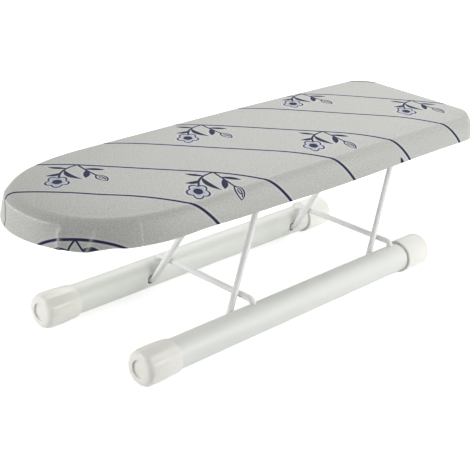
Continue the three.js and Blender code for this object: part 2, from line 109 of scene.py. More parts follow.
# Slack cloth round the nose, in millimetres
NOSE_FLARE = 2.2
NOSE_SAG = 1.4
FIRST_FOLD = Fold(place=38.3, slant=0.0, height=1.5, left_width=14.0, right_width=2.2,
                  lip=1.0, start=0.0, full=0.4, crease_start=0.2)
SECOND_FOLD = Fold(place=68.0, slant=-8.0, height=1.4, left_width=1.8, right_width=2.8,
                   lip=0.0, start=0.2, full=0.7, crease_start=0.3)
FOLDS = (FIRST_FOLD, SECOND_FOLD)
FOLD_LIP_WIDTH = 2.0
CREASE_WIDTH = 0.8
CREASE_FADE = 0.1
FACET_MIDDLE = -12.0
FACET_HALF = 52.0
FACET_DEPTH = 0.3
RIDGE_INSET = 2.3
RIDGE_Z = 150.8
RIDGE_SLOPE = 0.15
RIDGE_LIP = 0.3
RIDGE_LIP_SHARE = 1 / 12

# How finely the cover is drawn
NOSE_FINE_STEPS = 6000
NOSE_SAMPLES = 300
SIDE_SAMPLES = 92
END_SAMPLES = 3
CORNER_SAMPLES = 20
REAR_SAMPLES = 26
TOP_RINGS = 8
CROWN_RINGS = 9
EDGE_RINGS = 27
RIDGE_RING = 12
PAD_EDGE_RINGS = 13
HEM_ARC_RINGS = 3
UNDER_RINGS = 6
CASING_RINGS = 6
WELD_DISTANCE = 0.02
OFF_NOSE = 1e6

# Cloth simulation on a coarser copy; lengths in millimetres
SETTLE_FIRST_RING = 5
SETTLE_RING_STEP = 2
SETTLE_COLUMN_STEP = 3
SETTLE_QUALITY = 4
SETTLE_PRESSURE = 4.0
SETTLE_FRAMES = 20
SETTLE_SMOOTHINGS = 12
SETTLE_REACH = 8.0
SETTLE_CAP = 0.6

# How the print follows the cloth over the edge: the stretch is a share, the rest is in millimetres
NOSE_STRETCH = 0.13
STRETCH_MIDDLE = 75.0
STRETCH_LEFT = 75.0
STRETCH_RIGHT = 30.0
WALL_SHEAR = 7.0
WALL_SHEAR_DEPTHS = (12.0, 22.0)
TIP_SHEAR = 26.0
TIP_SHEAR_DEPTHS = (8.0, 26.0)
TIP_SHEAR_MIDDLE = -35.0
TIP_SHEAR_SPREAD = 25.0

# Print on the flat cloth, in millimetres; the sprigs' lean and scale are factors
PRINT_ANGLE = math.radians(46.24)
LINE_STEP = 62.66
LINE_START = -93.0
LINE_HALF_WIDTH = 1.35
ROW_STEP = 2 * LINE_STEP
SPRIG_STEP = 114.8
SPRIG_START = -147.6
SPRIG_SHIFT = 101.1
SPRIG_LEAN = 0.035
SPRIG_SCALE = 0.945
INK_BLUR = 0.3

# Sprig, in millimetres from where it hangs: each stroke has its start, end, half width and bow
FLOWER_X = -9.6
FLOWER_Y = -43.5
FLOWER_STRETCH = 1.3
FLOWER_RADIUS = 6.9
FLOWER_HEART = 4.1
PETAL_COUNT = 5
PETAL_DEPTH = 2.9
PETAL_TURN = 0.4
OUTLINE_HALF_WIDTH = 0.85
STEM_TAPER = 8.0
BUD = ((19.3, -22.0), (30.0, -35.0), 4.2, 0.0)
STEMS = (
    ((0.3, 0.0), (-9.6, -34.0), 1.1, -4.8),
    ((0.6, -0.5), (20.5, -24.0), 1.05, -0.8),
    ((21.0, -24.5), (28.5, -32.5), 0.7, 1.5),
    ((22.0, -27.0), (27.5, -30.0), 0.7, -1.2))
LEAVES = (
    ((-6.4, -10.4), (-23.8, -8.0), 2.5, 0.5),
    ((-9.6, -20.5), (-22.0, -30.4), 2.6, 2.2),
    ((-8.4, -14.0), (10.0, -33.8), 2.9, -4.2),
    ((6.4, -9.6), (25.0, -8.6), 2.6, 0.4),
    ((9.2, -12.5), (11.6, -31.0), 2.9, 0.8))

# Camera, fitted to the photograph
CAMERA_PLACE = Vector((-0.76464, -0.69138, 0.51159))
CAMERA_YAW = 0.7439
CAMERA_PITCH = 0.4119
CAMERA_ROLL = 0.0621
FOCAL_PIXELS = 1182.3
IMAGE_PIXELS = 470.0
SENSOR = 36.0

# Studio, in metres and watts: each lamp has its place, target, size and power
LAMPS = {
    "overhead": ((0.35, 0.2, 1.5), (0.1, 0, 0.1), (1.4, 1.4), 1.5),
    "left_low_box": ((-1.45, 0.7, 0.5), (-0.1, 0, 0.08), (0.9, 0.8), 12),
    "left_high_box": ((-1.3, 0.75, 1.1), (-0.1, 0, 0.08), (0.9, 0.9), 5.5),
    "right_low_box": ((0.75, -1.42, 0.5), (0.05, 0, 0.08), (0.9, 0.8), 9),
    "right_high_box": ((0.7, -1.3, 0.95), (0.05, 0, 0.08), (0.9, 0.9), 9.5),
    "back_box": ((0.85, 0.6, 0.95), (0.15, 0, 0.1), (0.9, 0.8), 6.5),
    "rear_box": ((1.1, -0.4, 1.1), (0.15, 0, 0.1), (0.9, 0.7), 3)}
WORLD_LIGHT = 0.06
FLOOR_REACH = 12.0
FLOOR_GLOW = 0.55
GLOW_GROWS_FROM = 0.7
GLOW_FULL_FROM = 2.0

# Shading of the solids
WELD_METRES = 0.00002
SHARP_ANGLE = math.radians(38)

# Values that follow from those above
MIDDLE_Y = (FAR_Y + NEAR_Y) / 2
HALF_WIDTH = (FAR_Y - NEAR_Y) / 2
SIDE_X = NOSE_TIP_X + NOSE_LENGTH
TOP_COUNT = TOP_RINGS + CROWN_RINGS
EDGE_ANGLES = [math.pi / 2 * (1 - k / EDGE_RINGS) for k in range(EDGE_RINGS + 1)]
ALONG_PRINT = np.array([math.cos(PRINT_ANGLE), -math.sin(PRINT_ANGLE)])
ACROSS_PRINT = np.array([math.sin(PRINT_ANGLE), math.cos(PRINT_ANGLE)])


def linear(red, green, blue):
    """A colour written in screen values from 0 to 255, as linear light with full alpha."""
    def channel(value):
        share = value / 255
        return share / 12.92 if share <= 0.04045 else ((share + 0.055) / 1.055) ** 2.4
    return (channel(red), channel(green), channel(blue), 1.0)


def ramp(value, low, high):
    """0 up to low, 1 from high on, and straight between them."""
    return np.clip((value - low) / (high - low), 0, 1)


def bell(value, middle, spread):
    """1 at the middle, falling away smoothly to both sides."""
    return np.exp(-(((value - middle) / spread) ** 2))


# Plan of the board
def nose_curve(count):
    """Places, outward normals and distances from the tip, evenly round the nose from its far end."""
    angle = np.linspace(0, math.pi, NOSE_FINE_STEPS + 1)
    across = np.cos(angle)
    share_y = np.sign(across) * np.abs(across) ** (2 / NOSE_FULLNESS)
    share_x = np.abs(np.sin(angle)) ** (2 / NOSE_FULLNESS)
    place = np.stack([SIDE_X - NOSE_LENGTH * share_x, MIDDLE_Y + HALF_WIDTH * share_y], 1)
    normal_x = -(share_x ** (NOSE_FULLNESS - 1)) / NOSE_LENGTH
    normal_y = np.sign(share_y) * np.abs(share_y) ** (NOSE_FULLNESS - 1) / HALF_WIDTH
    normal = np.stack([normal_x, normal_y], 1)
    normal /= np.linalg.norm(normal, axis=1)[:, None]
    travel = travelled(place)
    wanted = np.linspace(0, travel[-1], count + 1)[:-1]
    pick = [np.interp(wanted, travel, column) for column in (*place.T, *normal.T)]
    return np.stack(pick[:2], 1), np.stack(pick[2:], 1), wanted - travel[-1] / 2


def travelled(place):
    """Distance from the first place to each one, along the line through them."""
    return np.concatenate([[0], np.cumsum(np.linalg.norm(np.diff(place, axis=0), axis=1))])


def run(start, end, normal, count):
    """Places along a straight edge, its end left out, with one outward normal."""
    share = np.arange(count)[:, None] / count
    return np.array(start) * (1 - share) + np.array(end) * share, np.tile(normal, (count, 1))


def corner(centre, radius, start, count):
    """Places and normals round a quarter circle."""
    angle = start + np.arange(count) / count * math.pi / 2
    normal = np.stack([np.cos(angle), np.sin(angle)], 1)
    return np.array(centre) + radius * normal, normal


def side_bow(place, normal):
    """How far the long sides swell outwards between the nose and the square rear."""
    start = NOSE_TIP_X + NOSE_LENGTH / 2
    share = ramp(place[:, 0], start, REAR_X)
    return SIDE_BOW * (4 * share * (1 - share) - 0.5) * np.abs(normal[:, 1]) * (share > 0)


def board_plan():
    """The outline, counterclockwise: places, outward normals, spine points, distance from the tip."""
    near_x = REAR_X - NEAR_CORNER_RADIUS
    far_x = REAR_X - FAR_CORNER_RADIUS
    low_y = NEAR_Y + NEAR_CORNER_RADIUS
    high_y = FAR_Y - FAR_CORNER_RADIUS
    nose, nose_normal, from_tip = nose_curve(NOSE_SAMPLES)
    parts = [
        (nose, nose_normal),
        run((SIDE_X, NEAR_Y), (far_x, NEAR_Y), (0, -1), SIDE_SAMPLES),
        run((far_x, NEAR_Y), (near_x, NEAR_Y), (0, -1), END_SAMPLES),
        corner((near_x, low_y), NEAR_CORNER_RADIUS, -math.pi / 2, CORNER_SAMPLES),
        run((REAR_X, low_y), (REAR_X, high_y), (1, 0), REAR_SAMPLES),
        corner((far_x, high_y), FAR_CORNER_RADIUS, 0, CORNER_SAMPLES),
        run((far_x, FAR_Y), (SIDE_X, FAR_Y), (0, 1), SIDE_SAMPLES)]
    place = np.concatenate([places for places, _ in parts])
    normal = np.concatenate([normals for _, normals in parts])
    place = place + normal * side_bow(place, normal)[:, None]
    spine_x = np.clip(place[:, 0], SIDE_X, REAR_X - HALF_WIDTH)
    spine = np.stack([spine_x, np.full(len(place), MIDDLE_Y)], 1)
    tip = np.full(len(place), OFF_NOSE)
    tip[:NOSE_SAMPLES] = from_tip
    return place, normal, spine, tip


def facing(x, y):
    """How much each sample's edge faces a direction, from 0 to 1."""
    return np.clip(NORMAL @ np.array((x, y)), 0, 1) ** 2


PLACE, NORMAL, SPINE, TIP = board_plan()
TRAVEL = travelled(PLACE)
NEAR_SHARE = facing(0, -1)
FAR_SHARE = facing(0, 1)
REAR_SHARE = facing(1, 0)
NOSE_SHARE = facing(-1, 0)
SHARES = np.stack([NEAR_SHARE, FAR_SHARE, REAR_SHARE, NOSE_SHARE])
EDGES = np.array([NEAR_EDGE, FAR_EDGE, REAR_EDGE, NOSE_EDGE])
EDGE_WIDTH = EDGES[:, 0] @ SHARES
EDGE_TOP = EDGES[:, 1] @ SHARES


# Slack cloth of the nose and the hem
def between_folds():
    """How far each sample lies into the slack cloth between the nose's two folds, from 0 to 1."""
    return np.sin(math.pi * ramp(TIP, FIRST_FOLD.place, SECOND_FOLD.place))


def from_fold(fold, below):
    """How far each sample lies past a fold, which slants as it runs down the edge."""
    return TIP - fold.place - fold.slant * below


def fold_height(fold, below):
    """How far a fold stands out: a ridge whose flanks have their own widths, with a narrow lip on it."""
    away = from_fold(fold, below)
    flank = np.where(away < 0, fold.left_width, fold.right_width)
    crest = fold.height * np.exp(-np.abs(away) / flank)
    lip = fold.lip * np.exp(-np.abs(away) / FOLD_LIP_WIDTH)
    return (crest + lip) * ramp(below, fold.start, fold.full)


def facet():
    """The nearly flat cloth on the nose's tip that ends at the first fold, from 0 to 1."""
    return np.clip(1 - ((TIP - FACET_MIDDLE) / FACET_HALF) ** 2, 0, 1)


def ridge_share():
    """How much the nose's edge breaks at a ridge instead of rounding, from 0 to 1."""
    return np.clip(2 * facet(), 0, 1)


def hem_wave():
    """How much lower than its even height the hem hangs."""
    wave = NOSE_SAG * between_folds()
    for middle, spread, drop in NOSE_WAVES:
        wave += drop * bell(TIP, middle, spread)
    for middle, spread, drop in NEAR_WAVES:
        wave += drop * NEAR_SHARE * bell(PLACE[:, 0], middle, spread)
    return wave


def wall_shift(angle):
    """Outward and downward shifts of the cover's edge, from a quarter turn at its top to 0 at the hem."""
    below = 1 - math.sin(angle)
    out = NOSE_FLARE * np.sqrt(NOSE_SHARE * below) - FACET_DEPTH * facet() * below
    for fold in FOLDS:
        out += fold_height(fold, below)
    return out, hem_wave() * below ** 2


# Cover and pad: rings of points from the spine, over the edge and under the board
def rear_droop(plan):
    """The top and the hem lie a little lower towards the square rear, most at its near corner."""
    far_share = ramp(plan[:, 1], NEAR_Y, FAR_Y)
    droop = NEAR_DROOP + (FAR_DROOP - NEAR_DROOP) * far_share
    return droop * ramp(plan[:, 0], 0, REAR_X) ** 2


def ring(inset, height, out=0.0, droop=1.0):
    """One ring of points, in millimetres."""
    offset = (out - inset) * np.ones(len(PLACE))
    plan = PLACE + NORMAL * offset[:, None]
    return np.column_stack([plan, height - droop * rear_droop(plan)])


def top_rings(skin):
    """From the spine out over the crown to where the edge starts to round."""
    start = PLACE - NORMAL * EDGE_WIDTH[:, None]
    reach = np.linalg.norm(start - SPINE, axis=1)
    crown_share = 1 - CROWN_WIDTH / reach
    shares = [crown_share * k / TOP_RINGS for k in range(TOP_RINGS)]
    shares += [crown_share + (1 - crown_share) * k / CROWN_RINGS for k in range(CROWN_RINGS)]
    rings = []
    for share in shares:
        plan = start * share[:, None] + SPINE * (1 - share[:, None])
        over = np.clip(1 - (1 - share) * reach / CROWN_WIDTH, 0, 1)
        fall = (COVER_TOP - EDGE_TOP) * over ** 2
        rings.append(np.column_stack([plan, COVER_TOP - skin - fall - rear_droop(plan)]))
    return rings


def ridge_profile(number):
    """Inset and height of an edge ring that breaks at the ridge: a bowed slope above, a wall below."""
    if number > RIDGE_RING:
        share = EDGE_ANGLES[number] / EDGE_ANGLES[RIDGE_RING]
        lip = RIDGE_LIP * max(0.0, 1 - (1 - share) / RIDGE_LIP_SHARE)
        return RIDGE_INSET * share - lip, EDGE_BASE + (RIDGE_Z - EDGE_BASE) * share
    span = EDGE_WIDTH - RIDGE_INSET
    bow = (EDGE_TOP - RIDGE_Z - RIDGE_SLOPE * span) / span ** 2
    travel = span * number / RIDGE_RING
    return EDGE_WIDTH - travel, EDGE_TOP - RIDGE_SLOPE * travel - bow * travel ** 2


def cover_edge_rings():
    """Down the cover's edge to the hem: an ellipse that round the nose breaks, flares and folds."""
    rings = []
    for number, angle in enumerate(EDGE_ANGLES):
        inset = EDGE_WIDTH * (1 - math.cos(angle))
        rise = EDGE_BASE + (EDGE_TOP - EDGE_BASE) * math.sin(angle)
        ridge_inset, ridge_rise = ridge_profile(number)
        inset += (ridge_inset - inset) * ridge_share()
        rise += (ridge_rise - rise) * ridge_share()
        out, drop = wall_shift(angle)
        rings.append(ring(inset, rise - drop, out))
    return rings


def pad_edge_rings(skin):
    """Down the pad's plain elliptical edge, a skin's thickness inside the cover, to the pad's bottom."""
    width = EDGE_WIDTH - skin
    height = EDGE_TOP - EDGE_BASE - skin
    last = np.arcsin((PAD_BOTTOM - EDGE_BASE) / height)
    rings = []
    for k in range(PAD_EDGE_RINGS + 1):
        angle = math.pi / 2 + (last - math.pi / 2) * k / PAD_EDGE_RINGS
        rings.append(ring(EDGE_WIDTH - width * np.cos(angle), EDGE_BASE + height * np.sin(angle)))
    return rings


def hem_rings():
    """Round the lower corner and under the board to the casing, rippled where it is gathered."""
    out, drop = wall_shift(0.0)
    rings = []
    for k in range(1, HEM_ARC_RINGS + 1):
        angle = math.pi / 2 * k / HEM_ARC_RINGS
        height = EDGE_BASE - HEM_RADIUS * math.sin(angle)
        rings.append(ring(HEM_RADIUS * (1 - math.cos(angle)), height - drop, out))
    drift = RIPPLE_DRIFT * np.sin(TRAVEL / RIPPLE_DRIFT_LENGTH)
    ripple = RIPPLE_HEIGHT * np.sin(TRAVEL / RIPPLE_LENGTH * 2 * math.pi + drift)
    casing_start = HEM_WIDTH - CASING_WIDTH
    for k in range(1, UNDER_RINGS + 1):
        share = k / UNDER_RINGS
        inset = HEM_RADIUS + (casing_start - HEM_RADIUS) * share
        height = UNDERSIDE - ripple * share - drop * (1 - share)
        rings.append(ring(inset, height, out * (1 - share), 1 - share))
    for k in range(1, CASING_RINGS + 1):
        share = k / CASING_RINGS
        height = UNDERSIDE - CASING_DROP * math.sin(math.pi * share) - ripple * (1 - share)
        rings.append(ring(casing_start + CASING_WIDTH * share, height + HEM_LIFT * share ** 4, 0, 0))
    return rings


def crease_marks(count):
    """How far each point of a number of rings lies on a pressed crease of the nose, from 0 to 1."""
    marks = np.zeros((count, len(PLACE)))
    marks[TOP_COUNT + RIDGE_RING] = ridge_share()
    for number, angle in enumerate(EDGE_ANGLES):
        below = 1 - math.sin(angle)
        for fold in FOLDS:
            shown = ramp(below, fold.crease_start, fold.crease_start + CREASE_FADE)
            marks[TOP_COUNT + number] += np.exp(-np.abs(from_fold(fold, below)) / CREASE_WIDTH) * shown
    return marks


# Cloth simulation
def settled(rings):
    """The cover's rings after they swell over the pad, as a coarser copy does in the simulation."""
    rows = np.arange(SETTLE_FIRST_RING, TOP_COUNT + EDGE_RINGS + 1, SETTLE_RING_STEP)
    columns = np.arange(0, len(PLACE), SETTLE_COLUMN_STEP)
    coarse = np.stack(rings)[rows][:, columns] * MM
    pressed, outward = pressed_cloth(coarse)
    swell = np.sum((pressed - coarse) * outward, axis=2) / MM
    for _ in range(SETTLE_SMOOTHINGS):
        swell = (np.roll(swell, 1, axis=1) + 2 * swell + np.roll(swell, -1, axis=1)) / 4
    swell = SETTLE_CAP * np.tanh(np.clip(swell / SETTLE_REACH, 0, None))
    move = outward * swell[:, :, None]
    spine_move = np.broadcast_to(move[0].mean(0), move[:1].shape)
    shifts = spread(np.concatenate([spine_move, move]), np.append(0, rows), columns, len(rings))
    return [points + shift for points, shift in zip(rings, shifts)]


def pressed_cloth(grid):
    """A grid of points after it is pressed from inside, held along its last row, and its first normals."""
    rows, columns, _ = grid.shape
    mesh = bpy.data.meshes.new("settling")
    mesh.from_pydata(grid.reshape(-1, 3).tolist(), [], grid_faces(rows, columns))
    cloth = bpy.data.objects.new("settling", mesh)
    bpy.context.scene.collection.objects.link(cloth)
    last_row = list(range((rows - 1) * columns, rows * columns))
    cloth.vertex_groups.new(name="held").add(last_row, 1.0, "REPLACE")
    add_cloth(cloth)
    for number in range(1, SETTLE_FRAMES + 1):
        bpy.context.scene.frame_set(number)
    swollen = cloth.evaluated_get(bpy.context.evaluated_depsgraph_get()).data
    place = np.zeros(grid.size)
    swollen.vertices.foreach_get("co", place)
    normal = np.zeros(grid.size)
    mesh.vertices.foreach_get("normal", normal)
    bpy.context.scene.frame_set(1)
    bpy.data.objects.remove(cloth)
    bpy.data.meshes.remove(mesh)
    return place.reshape(grid.shape), normal.reshape(grid.shape)


def add_cloth(cloth):
    """Pressure alone: no gravity and no collisions."""
    soft = cloth.modifiers.new("settle", "CLOTH")
    soft.settings.quality = SETTLE_QUALITY
    soft.settings.vertex_group_mass = "held"
    soft.settings.use_pressure = True
    soft.settings.uniform_pressure_force = SETTLE_PRESSURE
    soft.settings.effector_weights.gravity = 0
    soft.collision_settings.use_collision = False
    soft.point_cache.frame_start = 1
    soft.point_cache.frame_end = SETTLE_FRAMES


def spread(move, rows, columns, ring_count):
    """Moves of a coarse grid, passed on to every point of every ring."""
    every_ring = np.arange(ring_count)
    every_column = np.arange(len(PLACE))

    def down(line):
        return np.interp(every_ring, rows, line)

    def round_the_ring(line):
        return np.interp(every_column, columns, line, period=len(PLACE))
    return np.apply_along_axis(round_the_ring, 1, np.apply_along_axis(down, 0, move))


# Meshes
def nose_stretch():
    """How much the cloth is drawn out over the nose's near side, as a factor on its length."""
    width = np.where(TIP < STRETCH_MIDDLE, STRETCH_LEFT, STRETCH_RIGHT)
    return 1 + NOSE_STRETCH * bell(TIP, STRETCH_MIDDLE, width)


def wall_shear(depth):
    """How far the gathered hem pulls the near wall's print along its lines, and the nose's across them."""
    pull = WALL_SHEAR * NEAR_SHARE ** 2 * ramp(depth, *WALL_SHEAR_DEPTHS)
    tug = TIP_SHEAR * bell(TIP, TIP_SHEAR_MIDDLE, TIP_SHEAR_SPREAD) * ramp(depth, *TIP_SHEAR_DEPTHS)
    return pull[:, None] * ALONG_PRINT + tug[:, None] * ACROSS_PRINT


def flat_places(rings):
    """Where each ring lies on the flat cloth: as drawn on top, then by the cloth's length down the edge."""
    flat = [points[:, :2] for points in rings[:TOP_COUNT + 1]]
    depth = np.zeros(len(PLACE))
    for upper, lower in zip(rings[TOP_COUNT:], rings[TOP_COUNT + 1:]):
        step = lower - upper
        depth = depth + np.hypot(np.sum(step[:, :2] * NORMAL, axis=1), step[:, 2]) * nose_stretch()
        flat.append(PLACE + NORMAL * (depth - EDGE_WIDTH)[:, None] + wall_shear(depth))
    return flat


def grid_faces(rows, columns):
    """Faces between rows of points that close round on themselves."""
    faces = []
    for k in range(rows - 1):
        upper = k * columns
        lower = upper + columns
        for i in range(columns):
            j = (i + 1) % columns
            faces.append((upper + i, lower + i, lower + j, upper + j))
    return faces


def set_flat_map(mesh, flat):
    """The flat cloth as a UV map."""
    corners = np.zeros(len(mesh.loops), int)
    mesh.loops.foreach_get("vertex_index", corners)
    layer = mesh.uv_layers.new(name="flat_cloth")
    layer.data.foreach_set("uv", flat[corners].astype(np.float32).ravel())


def set_creases(mesh, ring_count):
    """Where the cloth is creased, for the painted highlight along its creases."""
    marks = mesh.attributes.new("crease_mark", "FLOAT", "POINT")
    marks.data.foreach_set("value", crease_marks(ring_count).astype(np.float32).ravel())


def weld(mesh):
    """Joins the points that meet on the spine and turns all faces outwards."""
    work = bmesh.new()
    work.from_mesh(mesh)
    bmesh.ops.remove_doubles(work, verts=work.verts, dist=WELD_DISTANCE * MM)
    bmesh.ops.recalc_face_normals(work, faces=work.faces)
    work.to_mesh(mesh)
    work.free()


def ring_mesh(name, rings, creased=False, closed_below=False):
    """An object over rings of points whose first ring lies on the spine."""
    count = len(PLACE)
    faces = grid_faces(len(rings), count)
    if closed_below:
        last = (len(rings) - 1) * count
        faces.append(tuple(range(last + count - 1, last - 1, -1)))
    mesh = bpy.data.meshes.new(name)
    mesh.from_pydata((np.concatenate(rings) * MM).tolist(), [], faces)
    set_flat_map(mesh, np.concatenate(flat_places(rings)) * MM)
    if creased:
        set_creases(mesh, len(rings))
    weld(mesh)
    mesh.shade_smooth()
    made = bpy.data.objects.new(name, mesh)
    bpy.context.scene.collection.objects.link(made)
    return made


# Materials
class Value:
    """A number in a node tree, for writing formulas that become math nodes."""

    def __init__(self, tree, socket):
        self.tree = tree
        self.socket = socket

    def op(self, kind, *others):
        node = self.tree.nodes.new("ShaderNodeMath")
        node.operation = kind
        for slot, value in zip(node.inputs, (self, *others)):
            if isinstance(value, Value):
                self.tree.links.new(value.socket, slot)
            else:
                slot.default_value = value
        return Value(self.tree, node.outputs[0])

    def __add__(self, other):
        return self.op("ADD", other)

    def __sub__(self, other):
        return self.op("SUBTRACT", other)

    def __mul__(self, other):
        return self.op("MULTIPLY", other)

    def __truediv__(self, other):
        return self.op("DIVIDE", other)

    def __abs__(self):
        return self.op("ABSOLUTE")

    def least(self, other):
        return self.op("MINIMUM", other)

    def most(self, other):
        return self.op("MAXIMUM", other)

    def above(self, low, high):
        """0 below low and 1 above high."""
        return ((self - low) / (high - low)).least(1.0).most(0.0)

    def wrapped(self, step):
        """Repeats every step, from half a step below 0 to half a step above."""
        return self.op("WRAP", step / 2, -step / 2)


class Paint:
    """One material: its node tree, its shader and short calls for what the materials share."""

    def __init__(self, name, colour, roughness, **settings):
        self.material = bpy.data.materials.new(name)
        self.material.use_nodes = True
        self.tree = self.material.node_tree
        self.shader = self.tree.nodes["Principled BSDF"]
        self.shader.inputs["Base Color"].default_value = colour
        self.shader.inputs["Roughness"].default_value = roughness
        for key, value in settings.items():
            self.shader.inputs[key.replace("_", " ")].default_value = value

    def feed(self, socket, value):
        if isinstance(value, Value):
            self.tree.links.new(value.socket, socket)
        elif isinstance(value, bpy.types.NodeSocket):
            self.tree.links.new(value, socket)
        else:
            socket.default_value = value

    def set(self, key, value):
        self.feed(self.shader.inputs[key], value)

    def node(self, kind, **inputs):
        made = self.tree.nodes.new(kind)
        for key, value in inputs.items():
            self.feed(made.inputs[key.replace("_", " ")], value)
        return made

    def value(self, node, output):
        return Value(self.tree, node.outputs[output])

    def place(self, kind="Object"):
        return self.node("ShaderNodeTexCoord").outputs[kind]

    def split(self, vector):
        """The three parts of a vector."""
        made = self.node("ShaderNodeSeparateXYZ", Vector=vector)
        return [self.value(made, axis) for axis in "XYZ"]

    def stretched(self, vector, scale):
        return self.node("ShaderNodeMapping", Vector=vector, Scale=scale).outputs["Vector"]

    def noise(self, vector, scale, detail=2.0, rough=0.5):
        made = self.node("ShaderNodeTexNoise", Vector=vector, Scale=scale, Detail=detail, Roughness=rough)
        return self.value(made, "Fac")

    def mix(self, share, low, high):
        made = self.tree.nodes.new("ShaderNodeMix")
        made.data_type = "RGBA"
        self.feed(made.inputs[0], share)
        self.feed(made.inputs[6], low)
        self.feed(made.inputs[7], high)
        return made.outputs[2]

    def bump(self, height, strength, distance):
        made = self.node("ShaderNodeBump", Height=height, Strength=strength, Distance=distance)
        return made.outputs["Normal"]


def coated_paint(name, colour, shade, roughness):
    """Satin powder coat: slight orange peel and faint unevenness of colour and gloss."""
    paint = Paint(name, colour, roughness, Specular_IOR_Level=0.5)
    place = paint.place()
    cloud = paint.noise(place, scale=28.0, detail=3.0)
    peel = paint.noise(place, scale=900.0)
    paint.set("Base Color", paint.mix(cloud.above(0.3, 0.7), shade, colour))
    paint.set("Roughness", cloud * 0.12 + (roughness - 0.06))
    paint.set("Normal", paint.bump(peel, strength=0.05, distance=0.0004))
    return paint.material


def plastic_paint(name, colour, shade):
    """Satin moulded plastic with a fine spark eroded grain."""
    paint = Paint(name, colour, 0.32, Specular_IOR_Level=0.5)
    place = paint.place()
    cloud = paint.noise(place, scale=45.0, detail=3.0)
    grain = paint.noise(place, scale=1500.0)
    paint.set("Base Color", paint.mix(cloud.above(0.3, 0.7), shade, colour))
    paint.set("Roughness", cloud * 0.14 + 0.25)
    paint.set("Normal", paint.bump(grain, strength=0.06, distance=0.0003))
    return paint.material


def zinc_paint():
    """Zinc plated pressed steel with a mottled passivated finish."""
    dark = linear(150, 154, 158)
    bright = linear(196, 199, 200)
    paint = Paint("zinc_plate", linear(180, 184, 187), 0.35, Metallic=0.9)
    mottle = paint.noise(paint.place(), scale=350.0, detail=4.0, rough=0.6)
    paint.set("Base Color", paint.mix(mottle.above(0.3, 0.7), dark, bright))
    paint.set("Roughness", mottle * 0.3 + 0.22)
    paint.set("Normal", paint.bump(mottle, strength=0.05, distance=0.0003))
    return paint.material


def chipboard_paint():
    """Chipboard: flakes of several browns at its edges, a thin pale paper facing on its two faces."""
    dark_flake = linear(160, 126, 82)
    light_flake = linear(211, 182, 138)
    glue = linear(138, 104, 66)
    dull_paper = linear(226, 225, 218)
    pale_paper = linear(236, 235, 229)
    paint = Paint("faced_chipboard", linear(190, 158, 112), 0.8, Specular_IOR_Level=0.25)
    place = paint.place()
    grain = paint.stretched(place, (260.0, 420.0, 420.0))
    flakes = paint.node("ShaderNodeTexVoronoi", Vector=grain, Scale=1.0)
    tint = paint.node("ShaderNodeSeparateColor", Color=flakes.outputs["Color"])
    flake = paint.value(tint, "Red")
    dust = paint.noise(place, scale=700.0, detail=4.0, rough=0.65)
    chips = paint.mix(flake, dark_flake, light_flake)
    raw = paint.mix(dust.above(0.35, 0.75) * 0.5, chips, glue)
    fibre = paint.noise(paint.stretched(place, (90.0, 600.0, 600.0)), scale=1.0, detail=3.0)
    paper = paint.mix(fibre.above(0.3, 0.7), dull_paper, pale_paper)
    upright = paint.split(paint.place("Normal"))[2]
    paint.set("Base Color", paint.mix(abs(upright).above(0.7, 0.8), raw, paper))
    paint.set("Normal", paint.bump(dust * 0.4 + flake * 0.3, strength=0.15, distance=0.0004))
    return paint.material


def foam_paint():
    """Open cell foam: a pale, finely pitted surface, with painted shade in its pits."""
    pit_shade = linear(206, 200, 184)
    wall = linear(240, 236, 224)
    paint = Paint("pad_foam", linear(234, 230, 216), 0.95, Specular_IOR_Level=0.2)
    cells = paint.node("ShaderNodeTexVoronoi", Vector=paint.place(), Scale=900.0)
    depth = paint.value(cells, "Distance")
    # Painted shade: the pits, the hollows of the bump, are painted darker than the cell walls
    paint.set("Base Color", paint.mix(depth.above(0.1, 0.7), pit_shade, wall))
    paint.set("Normal", paint.bump(depth, strength=0.5, distance=0.0008))
    return paint.material


# Printed cloth: each shape is a number that is above 0 inside it, in millimetres from its edge
def along_stroke(x, y, start, end, bow):
    """Along a bowed stroke: 1 in its middle falling to 0 at its ends, and the distance beside its line."""
    (x0, y0), (x1, y1) = start, end
    length = math.hypot(x1 - x0, y1 - y0)
    c = (x1 - x0) / length
    s = (y1 - y0) / length
    mid_x = (x0 + x1) / 2
    mid_y = (y0 + y1) / 2
    along = x * c + y * s - (mid_x * c + mid_y * s)
    across = y * c - x * s - (mid_y * c - mid_x * s)
    taper = (along / (length / 2)).op("POWER", 2.0) * -1.0 + 1.0
    return taper, abs(across - taper * bow)


def leaf(x, y, start, end, half_width, bow):
    """A leaf, pointed at both ends."""
    taper, beside = along_stroke(x, y, start, end, bow)
    return taper * half_width - beside


def stem(x, y, start, end, half_width, bow):
    """A thin stroke of even width with short points."""
    taper, beside = along_stroke(x, y, start, end, bow)
    return (beside * -1.0 + half_width).least(taper * half_width * STEM_TAPER)


def outline(shape):
    """A line along a shape's edge."""
    return abs(shape) * -1.0 + OUTLINE_HALF_WIDTH


def sprig(x, y):
    """A flower and a bud on a forked stem: all navy strokes, then the flower and the bud by themselves."""
    flower_x = x - FLOWER_X
    flower_y = (y - FLOWER_Y) / FLOWER_STRETCH
    reach = (flower_x * flower_x + flower_y * flower_y).op("SQRT")
    angle = flower_y.op("ARCTAN2", flower_x)
    scallop = abs((angle * (PETAL_COUNT / 2) + PETAL_TURN).op("COSINE"))
    flower = scallop * PETAL_DEPTH + FLOWER_RADIUS - reach
    bud = leaf(x, y, *BUD)
    navy = outline(flower).most(reach * -1.0 + FLOWER_HEART).most(outline(bud))
    for stroke in STEMS:
        navy = navy.most(stem(x, y, *stroke))
    for stroke in LEAVES:
        navy = navy.most(leaf(x, y, *stroke))
    return navy, flower, bud


